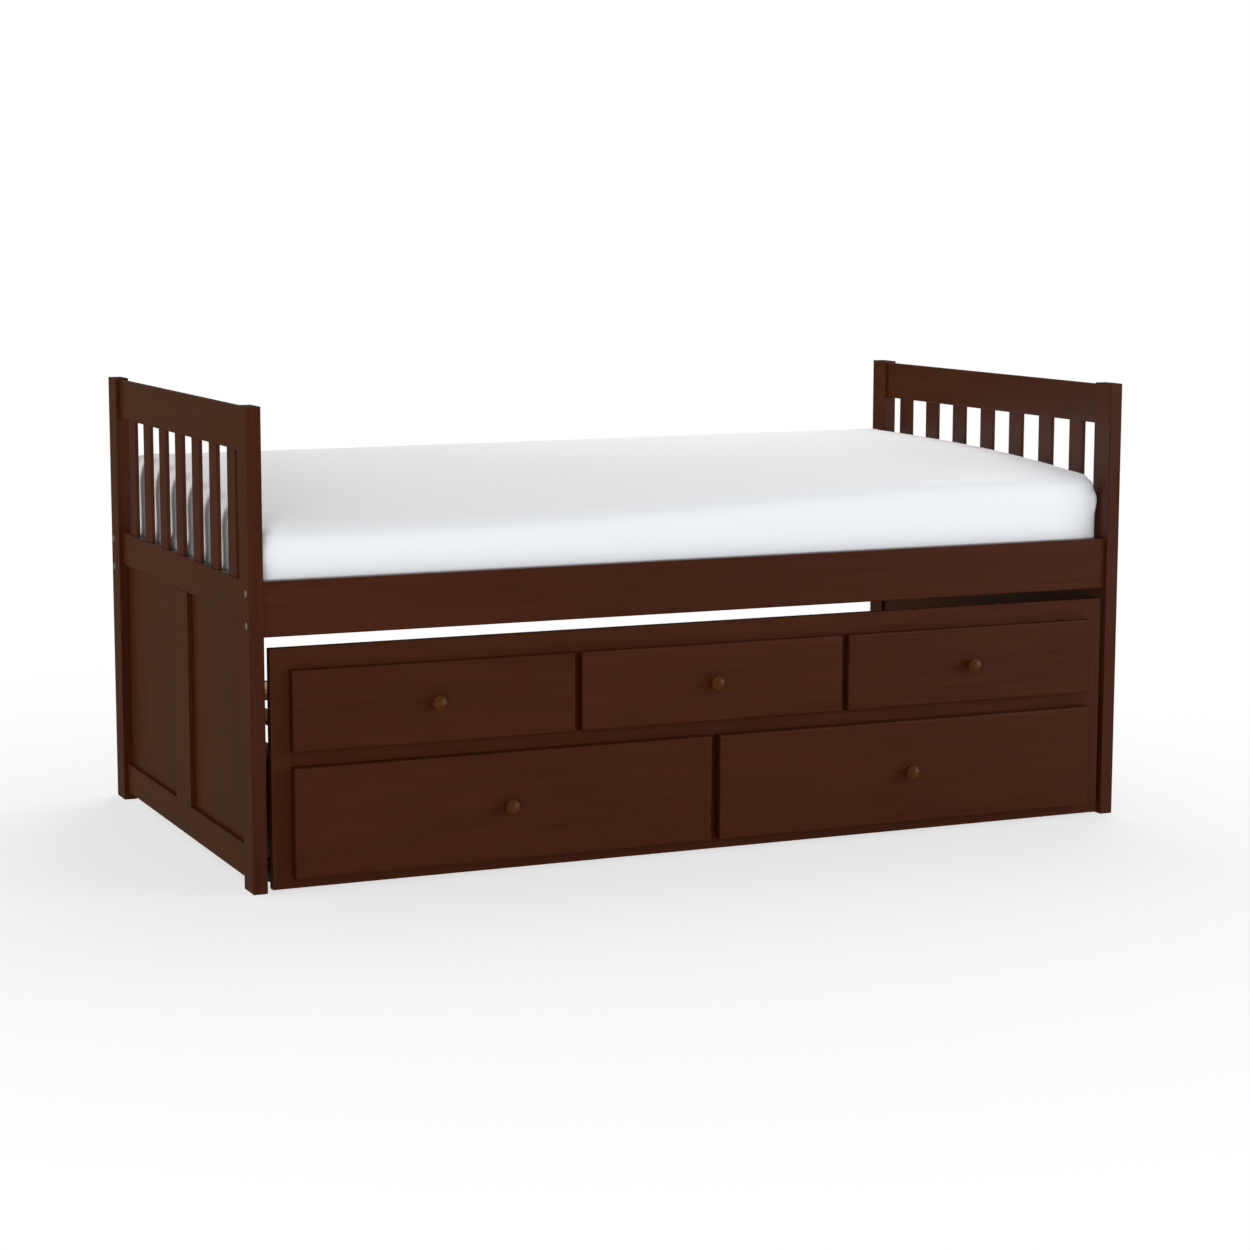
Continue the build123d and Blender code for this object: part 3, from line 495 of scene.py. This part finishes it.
@dataclass(frozen=True)
class ClothFinish:
    """A plain woven cover."""

    name: str
    colour: Colour
    shaded: Colour
    pitch: float
    yarn_depth: float
    slack_depth: float
    roughness: Span
    sheen: float
    sheen_roughness: float = 0.45
    gloss: float = 0.2
    slack_span: Span = (0.35, 0.65)
    slack_tone: Span = (0.6, 1.0)
    yarn_tone: Span = (0.75, 1.0)
    bump: float = 0.5

    def material(self) -> bpy.types.Material:
        """The material of this cover, made on first use."""
        if self.name in bpy.data.materials:
            return bpy.data.materials[self.name]
        nap = {"Sheen_Weight": self.sheen, "Sheen_Roughness": self.sheen_roughness}
        material, graph, shader = new_material(self.name, Specular_IOR_Level=self.gloss, **nap)
        place = graph.node("TexCoord").outputs["Object"]
        weave = EFFECTS.place(graph, "cloth_weave", {"Place": place, "Pitch": self.pitch}).outputs
        tone = graph.scaled(weave["Slack"], self.slack_span, self.slack_tone)
        shade = graph.maths("MULTIPLY", tone, graph.scaled(weave["Yarns"], UNIT, self.yarn_tone))
        graph.feed(shader.inputs["Base Color"], graph.blended(shade, self.shaded, self.colour))
        graph.feed(shader.inputs["Roughness"], graph.scaled(weave["Yarns"], UNIT, self.roughness))
        slack = {"Strength": self.bump, "Distance": self.slack_depth, "Height": weave["Slack"]}
        lie_of_cloth = graph.node("Bump", slack).outputs[0]
        yarns = {"Strength": self.bump, "Distance": self.yarn_depth, "Height": weave["Yarns"]}
        graph.feed(shader.inputs["Normal"], graph.node("Bump", yarns | {"Normal": lie_of_cloth}).outputs[0])
        return material


STAINED_WOOD = WoodFinish(
    name="stained_wood",
    deep=(0.043, 0.0088, 0.0026),
    light=(0.070, 0.0158, 0.0050),
    pore=(0.018, 0.0036, 0.0010),
    worn=(0.100, 0.0320, 0.0120),
    figure=0.16,
    streaks=0.52,
    tone=0.32,
    rings=9.0,
    roughness=(0.30, 0.42),
    pore_show=0.34,
    wear_show=0.12,
    sheen=0.20,
)
KNOB_WOOD = WoodFinish(
    name="knob_wood",
    deep=(0.060, 0.0140, 0.0016),
    light=(0.105, 0.0290, 0.0037),
    pore=(0.030, 0.0080, 0.0020),
    worn=(0.170, 0.0800, 0.0360),
    figure=0.35,
    streaks=0.45,
    tone=0.20,
    rings=30.0,
    roughness=(0.36, 0.48),
    pore_show=0.35,
    wear_show=0.10,
    sheen=0.25,
    end_grain=0.0,
)
PLAIN_PINE = WoodFinish(
    name="plain_pine",
    deep=(0.50, 0.290, 0.125),
    light=(0.70, 0.490, 0.270),
    pore=(0.33, 0.170, 0.070),
    worn=(0.74, 0.560, 0.360),
    figure=0.55,
    streaks=0.25,
    tone=0.20,
    rings=13.0,
    roughness=(0.55, 0.70),
    pore_show=0.18,
    wear_show=0.30,
    sheen=0.35,
)
DRAWER_PLYWOOD = WoodFinish(
    name="drawer_plywood",
    deep=(0.58, 0.400, 0.230),
    light=(0.74, 0.570, 0.380),
    pore=(0.36, 0.220, 0.110),
    worn=(0.78, 0.640, 0.470),
    figure=0.30,
    streaks=0.30,
    tone=0.40,
    rings=7.0,
    roughness=(0.42, 0.55),
    pore_show=0.15,
    wear_show=0.25,
    end_grain=0.1,
    plies=4,
)
ZINC_STEEL = MadeFinish(
    name="zinc_steel",
    colour=(0.066, 0.040, 0.016),
    shaded=(0.048, 0.029, 0.011),
    worn=(0.105, 0.068, 0.032),
    roughness=(0.34, 0.50),
    metallic=1.0,
    edge_tint=(0.16, 0.11, 0.05),
    scale=180.0,
)
SLIDE_STEEL = MadeFinish(
    name="slide_steel",
    colour=(0.74, 0.73, 0.69),
    shaded=(0.66, 0.65, 0.62),
    worn=(0.42, 0.41, 0.39),
    roughness=(0.34, 0.50),
    scale=40.0,
    scuff_show=0.12,
)
WHEEL_PLASTIC = MadeFinish(
    name="wheel_plastic",
    colour=(0.034, 0.034, 0.036),
    shaded=(0.022, 0.022, 0.023),
    worn=(0.12, 0.115, 0.11),
    roughness=(0.42, 0.62),
    scale=90.0,
    scuff_show=0.30,
)
BUMPER_RUBBER = MadeFinish(
    name="bumper_rubber",
    colour=(0.36, 0.35, 0.33),
    shaded=(0.29, 0.28, 0.26),
    worn=(0.45, 0.44, 0.42),
    roughness=(0.62, 0.78),
    scale=220.0,
)
MATTRESS_COVER = ClothFinish(
    name="mattress_cover",
    colour=(0.83, 0.83, 0.84),
    shaded=(0.75, 0.75, 0.765),
    pitch=0.0016,
    yarn_depth=0.00012,
    slack_depth=0.004,
    roughness=(0.75, 0.92),
    sheen=0.12,
)


def dress(material: bpy.types.Material, *nodes: str) -> None:
    """Gives nodes of the bed their finish."""
    for node in nodes:
        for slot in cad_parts[node].material_slots:
            slot.material = material
        LOG.info("%s takes %s", node, material.name)


@dataclass
class BedEnd:
    """One slatted end: two posts, three rails, a stile, two panels and seven slats."""

    hand: Hand
    slat_count: int = 7
    slat_width: float = 0.057
    panel_count: int = 2
    wood: WoodFinish = STAINED_WOOD

    def dress(self) -> None:
        """Lays the grain along each board of the end."""
        end = self.hand.value
        upright = self.wood.material(Lie.END_UPRIGHT)
        dress(upright, f"{end}_front_post", f"{end}_rear_post", f"{end}_centre_stile")
        rails = [f"{end}_{height}_rail" for height in ("top", "mid", "bottom")]
        dress(self.wood.material(Lie.CROSS_RAIL), *rails)
        slats = f"{end}_end_slats"
        row = BoardRow.across(slats, 1, self.slat_count, self.slat_width)
        dress(self.wood.material(Lie.END_UPRIGHT, row), slats)
        panels = f"{end}_end_panels"
        low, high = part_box(panels)
        stile_low, stile_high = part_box(f"{end}_centre_stile")
        panel_width = (high.y - low.y - (stile_high.y - stile_low.y)) / self.panel_count
        row = BoardRow.across(panels, 1, self.panel_count, panel_width)
        dress(self.wood.material(Lie.END_UPRIGHT, row), panels)


@dataclass
class BedBase:
    """The side rails with their fittings, and the slats that carry the mattress."""

    slat_count: int = 14
    slat_width: float = 0.068
    wood: WoodFinish = STAINED_WOOD
    slat_wood: WoodFinish = PLAIN_PINE
    fitting: MadeFinish = ZINC_STEEL

    def dress(self) -> None:
        """Stains the rails and leaves the slats and ledgers bare."""
        dress(self.wood.material(Lie.LONG_RAIL), "front_side_rail", "rear_side_rail")
        dress(self.slat_wood.material(Lie.LONG_RAIL), "front_ledger", "rear_ledger")
        row = BoardRow.across("bed_slats", 0, self.slat_count, self.slat_width)
        dress(self.slat_wood.material(Lie.CROSS_SLAT, row), "bed_slats")
        dress(self.fitting.material(), "side_rail_bolts", "side_rail_barrel_nuts", "bed_slat_screws")


@dataclass
class Mattress:
    """The mattress: its frame solid, filled out as cloth over foam.

    Attributes:
        node: the solid that it stands for.
        piece: the padded piece's own name.
        weld: the distance within which the solid's points are one.
        start_inset: how far the skin starts inside the solid.
        voxel: the size of the skin's faces.
        corner: radius and squareness of the upright corners.
        end_edge: radius and squareness of the top edges at the ends.
        side_edge: radius and squareness of the top edges along the sides.
        easing: how strongly one pass evens out the skin.
        easing_passes: how many passes there are.
        settle: how far the foam gives where people sit down on it.
        settle_middle: the place of that seat along the bed.
        settle_reach: how far the seat reaches to each side.
        rear_share: the share of the seat's depth that reaches the rear.
        edge_drop: how far the front edge hangs all along.
        edge_curve: how steeply it starts to hang.
        pressure: the filling's pressure.
        last_frame: the frame at which the filling is stopped.
        reach: the farthest that the filling moves the skin.
        base_band: the height of the band that lies flat on the slats.
        fill: not used.
        cover: the cover's finish.
    """

    node: str = "mattress"
    piece: str = "mattress_padded"
    weld: float = 1e-5
    start_inset: float = 0.002
    voxel: float = 0.012
    corner: tuple[float, float] = (0.026, 6.0)
    end_edge: tuple[float, float] = (0.058, 3.4)
    side_edge: tuple[float, float] = (0.058, 2.7)
    easing: float = 0.5
    easing_passes: int = 3
    settle: float = 0.046
    settle_middle: float = -0.7
    settle_reach: float = 1.5
    rear_share: float = 0.05
    edge_drop: float = 0.038
    edge_curve: int = 3
    pressure: float = 4.0
    last_frame: int = 16
    reach: float = 0.0024
    base_band: float = 0.012
    fill: float = 0.9
    cover: ClothFinish = MATTRESS_COVER
    made: bpy.types.Object | None = field(default=None, init=False)

    def build(self) -> None:
        """Makes the padded piece from the solid that it stands for."""
        self.made = bpy.data.objects.new(self.piece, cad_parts[self.node].data.copy())
        bpy.context.scene.collection.objects.link(self.made)
        self.weld_and_draw_in()
        self.remesh()
        self.square_edges()
        self.sink_front_edge()
        self.fill_out()
        for face in self.made.data.polygons:
            face.use_smooth = True

    def weld_and_draw_in(self) -> None:
        """Joins the solid's faces and makes it a little smaller, because it swells when it is filled."""
        low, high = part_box(self.node)
        middle, size = (low + high) / 2, high - low
        shape = bmesh.new()
        shape.from_mesh(self.made.data)
        bmesh.ops.remove_doubles(shape, verts=shape.verts, dist=self.weld)
        for vertex in shape.verts:
            for axis in range(3):
                away = vertex.co[axis] - middle[axis]
                vertex.co[axis] = middle[axis] + away * (1 - 2 * self.start_inset / size[axis])
        shape.to_mesh(self.made.data)
        shape.free()
        self.made.data.materials.clear()

    def applied(self) -> bpy.types.Mesh:
        """The piece's mesh with its modifiers worked in."""
        graph = bpy.context.evaluated_depsgraph_get()
        return bpy.data.meshes.new_from_object(self.made.evaluated_get(graph))

    def remesh(self) -> None:
        """Gives the whole skin faces of one size."""
        even = self.made.modifiers.new("even_skin", "REMESH")
        even.mode = "VOXEL"
        even.voxel_size = self.voxel
        mesh = self.applied()
        self.made.modifiers.clear()
        self.made.data = mesh

    def square_edges(self) -> None:
        """Squares the upright corners, which the posts hold, and firms the top edges all round."""
        low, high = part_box(self.node)
        middle, half = (low + high) / 2, (high - low) / 2
        edges = (((0, 1), self.corner), ((0, 2), self.end_edge), ((1, 2), self.side_edge))
        for axes, (radius, power) in edges:
            for vertex in self.made.data.vertices:
                way = vertex.co - middle
                out = [max(0.0, abs(way[i]) - half[i] + radius) for i in axes]
                if min(out) > 0 and (2 not in axes or way.z > 0):
                    grown = math.hypot(*out) / sum(part ** power for part in out) ** (1 / power) - 1
                    for i, part in zip(axes, out):
                        vertex.co[i] += math.copysign(part * grown, way[i])
        self.ease_skin()

    def ease_skin(self) -> None:
        """Evens out the skin where three rounded edges meet."""
        shape = bmesh.new()
        shape.from_mesh(self.made.data)
        for _ in range(self.easing_passes):
            bmesh.ops.smooth_vert(
                shape,
                verts=shape.verts,
                factor=self.easing,
                use_axis_x=True,
                use_axis_y=True,
                use_axis_z=True,
            )
        shape.to_mesh(self.made.data)
        shape.free()

    def sink_front_edge(self) -> None:
        """Lets the foam give along the front edge, most where people sit down on it."""
        low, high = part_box(self.node)
        for vertex in self.made.data.vertices:
            rise = (vertex.co.z - low.z) / (high.z - low.z)
            forward = (high.y - vertex.co.y) / (high.y - low.y)
            off = min(1.0, abs(vertex.co.x - self.settle_middle) / self.settle_reach)
            seat = self.settle * (1 + math.cos(math.pi * off)) / 2
            seat *= self.rear_share + (1 - self.rear_share) * forward
            vertex.co.z -= rise * (seat + self.edge_drop * forward ** self.edge_curve)

    def fill_out(self) -> None:
        """Blows the skin out against its own tension, with its base held flat on the slats."""
        scene = bpy.context.scene
        start = [vertex.co.copy() for vertex in self.made.data.vertices]
        floor = min(point.z for point in start)
        base = self.made.vertex_groups.new(name="base")
        base.add([i for i, point in enumerate(start) if point.z < floor + self.base_band], 1.0, "REPLACE")
        cloth = self.made.modifiers.new("filling", "CLOTH")
        cloth.settings.use_pressure = True
        cloth.settings.uniform_pressure_force = self.pressure
        cloth.settings.effector_weights.gravity = 0.0
        cloth.settings.vertex_group_mass = base.name
        for step in range(1, self.last_frame + 1):
            scene.frame_set(step)
        filled = self.applied()
        self.made.modifiers.clear()
        scene.frame_set(1)
        for vertex, point, moved in zip(self.made.data.vertices, start, filled.vertices):
            way = moved.co - point
            if way.length > self.reach:
                way *= self.reach / way.length
            vertex.co = point + way
        bpy.data.meshes.remove(filled)

    def dress(self) -> None:
        """Covers the piece and puts it in the solid's place on the bed."""
        self.made.data.materials.clear()
        self.made.data.materials.append(self.cover.material())
        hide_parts(self.node)
        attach(self.made, "bed")
        LOG.info("%s stands for %s and rides on bed", self.piece, self.node)


@dataclass
class TrundleFace:
    """The trundle's front: a face frame, three false fronts and their knobs."""

    false_fronts: int = 3
    wood: WoodFinish = STAINED_WOOD
    knob_wood: WoodFinish = KNOB_WOOD

    def dress(self) -> None:
        """Runs the grain along the fronts and up the stiles."""
        fronts = [f"false_front_{i + 1}" for i in range(self.false_fronts)]
        dress(self.wood.material(Lie.LONG_RAIL), "face_upper_panel", "face_bottom_rail", *fronts)
        dress(self.wood.material(Lie.FRONT_UPRIGHT), "face_left_stile", "face_right_stile", "face_muntin")
        dress(self.knob_wood.material(Lie.TURNED), "false_front_knobs")


@dataclass
class TrundleBox:
    """The trundle behind its face: sides, dividers, slatted deck, wheels and slide channels."""

    slat_count: int = 16
    slat_width: float = 0.045
    wood: WoodFinish = STAINED_WOOD
    slat_wood: WoodFinish = PLAIN_PINE
    fitting: MadeFinish = ZINC_STEEL
    slide: MadeFinish = SLIDE_STEEL
    wheel: MadeFinish = WHEEL_PLASTIC
    bumper: MadeFinish = BUMPER_RUBBER

    def dress(self) -> None:
        """Stains the box and leaves its deck bare."""
        sides = [f"trundle_{hand.value}_side" for hand in Hand]
        dress(self.wood.material(Lie.CROSS_RAIL), *sides, "trundle_dividers")
        dress(self.wood.material(Lie.LONG_RAIL), "trundle_rear_rail", "trundle_rear_bottom_rail")
        dress(self.slat_wood.material(Lie.LONG_RAIL), "trundle_cleats")
        row = BoardRow.across("trundle_slats", 0, self.slat_count, self.slat_width)
        dress(self.slat_wood.material(Lie.CROSS_SLAT, row), "trundle_slats")
        dress(self.fitting.material(), "trundle_slat_screws", "wheel_axles")
        dress(self.slide.material(), "slide_channels")
        dress(self.wheel.material(), "front_wheels", "rear_wheels")
        dress(self.bumper.material(), "drawer_bumpers")


@dataclass
class Drawer:
    """One storage drawer: a stained front and knob on a plywood box with metal runners."""

    hand: Hand
    front_wood: WoodFinish = STAINED_WOOD
    knob_wood: WoodFinish = KNOB_WOOD
    box_wood: WoodFinish = DRAWER_PLYWOOD
    slide: MadeFinish = SLIDE_STEEL

    def dress(self) -> None:
        """Finishes the drawer's pieces."""
        drawer = f"{self.hand.value}_drawer"
        dress(self.front_wood.material(Lie.LONG_RAIL), f"{drawer}_front")
        dress(self.knob_wood.material(Lie.TURNED), f"{drawer}_knob")
        dress(self.box_wood.material(Lie.CROSS_RAIL), f"{drawer}_sides")
        dress(self.box_wood.material(Lie.LONG_RAIL), f"{drawer}_back")
        dress(self.box_wood.material(Lie.LONG_FLAT), f"{drawer}_bottom")
        dress(self.slide.material(), f"{drawer}_runners")


@dataclass(frozen=True)
class Softbox:
    """One large soft lamp, which reflections show only where it shines."""

    name: str
    place: Point
    aim: Point
    size: tuple[float, float]
    watts: float
    tint: Colour
    shines: bool = False

    def hang(self) -> None:
        """Puts the lamp in the studio, out of the camera's sight."""
        lamp = bpy.data.lights.new(self.name, "AREA")
        lamp.shape = "RECTANGLE"
        lamp.size, lamp.size_y = self.size
        lamp.energy = self.watts
        lamp.color = self.tint
        holder = bpy.data.objects.new(self.name, lamp)
        holder.location = self.place
        holder.rotation_mode = "QUATERNION"
        holder.rotation_quaternion = (Vector(self.aim) - Vector(self.place)).to_track_quat("-Z", "Y")
        holder.visible_camera = False
        holder.visible_glossy = self.shines
        bpy.context.scene.collection.objects.link(holder)


@dataclass
class Studio:
    """A white studio: floor, soft lamps, surroundings and camera.

    Attributes:
        floor_reach: the floor's radius.
        floor_sides: how many sides its rim has.
        floor_drop: how far it lies under the bed's feet.
        floor_colour: its colour in the light that it throws back.
        shadow_share: how much of the bed's shadow the camera sees.
        shadow_fade: the distances from the bed's middle over which that ends.
        room_light: the even light from all round.
        low_reflection: what reflections show near the floor.
        high_reflection: what they show overhead.
        reflection_rise: the heights over which the one becomes the other.
        camera_place: the camera's place.
        camera_yaw: its turn towards the right, in radians.
        camera_pitch: its tilt down, in radians.
        camera_roll: its turn about its own axis, in radians.
        lens: its focal length, in millimetres.
        sensor: the width of its sensor, in millimetres.
        softboxes: the soft lamps.
    """

    floor_reach: float = 9.0
    floor_sides: int = 96
    floor_drop: float = 0.0005
    floor_colour: Colour = (0.86, 0.86, 0.86)
    shadow_share: float = 0.32
    shadow_fade: Span = (1.2, 2.7)
    room_light: float = 0.42
    low_reflection: Colour = (0.135, 0.132, 0.092)
    high_reflection: Colour = (0.32, 0.32, 0.32)
    reflection_rise: Span = (0.30, 0.95)
    camera_place: Point = (-2.5914, -5.9176, 1.3403)
    camera_yaw: float = 0.4170
    camera_pitch: float = 0.1425
    camera_roll: float = 0.0019
    lens: float = 83.82
    sensor: float = 36.0
    softboxes: tuple[Softbox, ...] = (
        Softbox(
            "right_box",
            place=(6.0, -3.9, 2.3),
            aim=(0.1, -0.2, 0.45),
            size=(4.0, 3.0),
            watts=190.0,
            tint=(0.97, 1.0, 1.03),
            shines=True,
        ),
        Softbox(
            "front_box",
            place=(-3.2, -6.2, 0.5),
            aim=(-0.1, -0.3, 0.5),
            size=(4.0, 1.6),
            watts=210.0,
            tint=(0.97, 1.0, 1.03),
        ),
        Softbox(
            "left_box",
            place=(-5.0, 2.0, 0.8),
            aim=(-0.9, 0.1, 0.5),
            size=(3.0, 1.6),
            watts=100.0,
            tint=(1.0, 0.98, 0.90),
        ),
        Softbox(
            "top_box",
            place=(1.7, 2.4, 3.9),
            aim=(0.1, 0.3, 0.75),
            size=(4.0, 2.4),
            watts=150.0,
            tint=(1.0, 0.965, 0.94),
        ),
    )

    def build(self) -> None:
        """Sets up the studio around the bed."""
        bpy.context.scene.view_settings.view_transform = "Standard"
        self.lay_floor()
        self.light_room()
        for box in self.softboxes:
            box.hang()
        self.set_camera()

    def lay_floor(self) -> None:
        """A pale floor that holds a part of the bed's shadow, lets the rest through and isn't reflected."""
        mesh = bpy.data.meshes.new("studio_floor")
        shape = bmesh.new()
        bmesh.ops.create_circle(shape, cap_ends=True, segments=self.floor_sides, radius=self.floor_reach)
        shape.to_mesh(mesh)
        shape.free()
        floor = bpy.data.objects.new("studio_floor", mesh)
        floor.location.z = -self.floor_drop
        bpy.context.scene.collection.objects.link(floor)

        material = bpy.data.materials.new("pale_floor")
        material.use_nodes = True
        graph = Graph(material.node_tree)
        pale = graph.node("BsdfDiffuse", {"Color": self.floor_colour})
        clear = graph.node("BsdfTransparent")
        place = graph.node("TexCoord").outputs["Object"]
        away = graph.node("VectorMath", {0: place}, operation="LENGTH").outputs["Value"]
        shadow = graph.scaled(away, self.shadow_fade, (self.shadow_share, 0.0))
        path = graph.node("LightPath").outputs
        seen = graph.maths("MAXIMUM", path["Is Camera Ray"], path["Is Transmission Ray"])
        share = graph.maths("MULTIPLY_ADD", seen, shadow, graph.maths("SUBTRACT", 1.0, seen))
        share = graph.maths("MULTIPLY", share, graph.maths("SUBTRACT", 1.0, path["Is Glossy Ray"]))
        mixed = graph.node("MixShader", {0: share, 1: clear.outputs[0], 2: pale.outputs[0]})
        graph.node("OutputMaterial", {"Surface": mixed.outputs[0]})
        mesh.materials.append(material)

    def light_room(self) -> None:
        """An even room light, white to the camera, with a dim and tinted room in reflections."""
        world = bpy.data.worlds.new("studio_room")
        world.use_nodes = True
        bpy.context.scene.world = world
        graph = Graph(world.node_tree)
        path = graph.node("LightPath").outputs
        way = graph.node("SeparateXYZ", {0: graph.node("TexCoord").outputs["Generated"]}).outputs["Z"]
        rise = graph.scaled(way, self.reflection_rise)
        mirrored = graph.blended(rise, self.low_reflection, self.high_reflection)
        lit = graph.blended(path["Is Glossy Ray"], (self.room_light,) * 3, mirrored)
        clear = graph.maths("MAXIMUM", path["Is Camera Ray"], path["Is Transmission Ray"])
        colour = graph.blended(clear, lit, WHITE)
        light = graph.node("Background", {"Color": colour})
        graph.node("OutputWorld", {"Surface": light.outputs[0]})

    def set_camera(self) -> None:
        """The camera at the photograph's viewpoint."""
        data = bpy.data.cameras.new("camera")
        data.lens = self.lens
        data.sensor_width = self.sensor
        camera = bpy.data.objects.new("camera", data)
        camera.location = self.camera_place
        camera.rotation_mode = "QUATERNION"
        turned = Euler((math.pi / 2 - self.camera_pitch, 0.0, -self.camera_yaw)).to_quaternion()
        camera.rotation_quaternion = turned @ Quaternion((0.0, 0.0, 1.0), self.camera_roll)
        bpy.context.scene.collection.objects.link(camera)
        bpy.context.scene.camera = camera


def main() -> None:
    """Dresses the bed and sets up the studio."""
    logging.basicConfig(level=logging.INFO, format="%(message)s")
    mattress = Mattress()
    mattress.build()
    pieces = [
        *[BedEnd(hand) for hand in Hand],
        BedBase(),
        mattress,
        TrundleFace(),
        TrundleBox(),
        *[Drawer(hand) for hand in Hand],
    ]
    for piece in pieces:
        piece.dress()
    Studio().build()


if __name__ == "__main__":
    main()
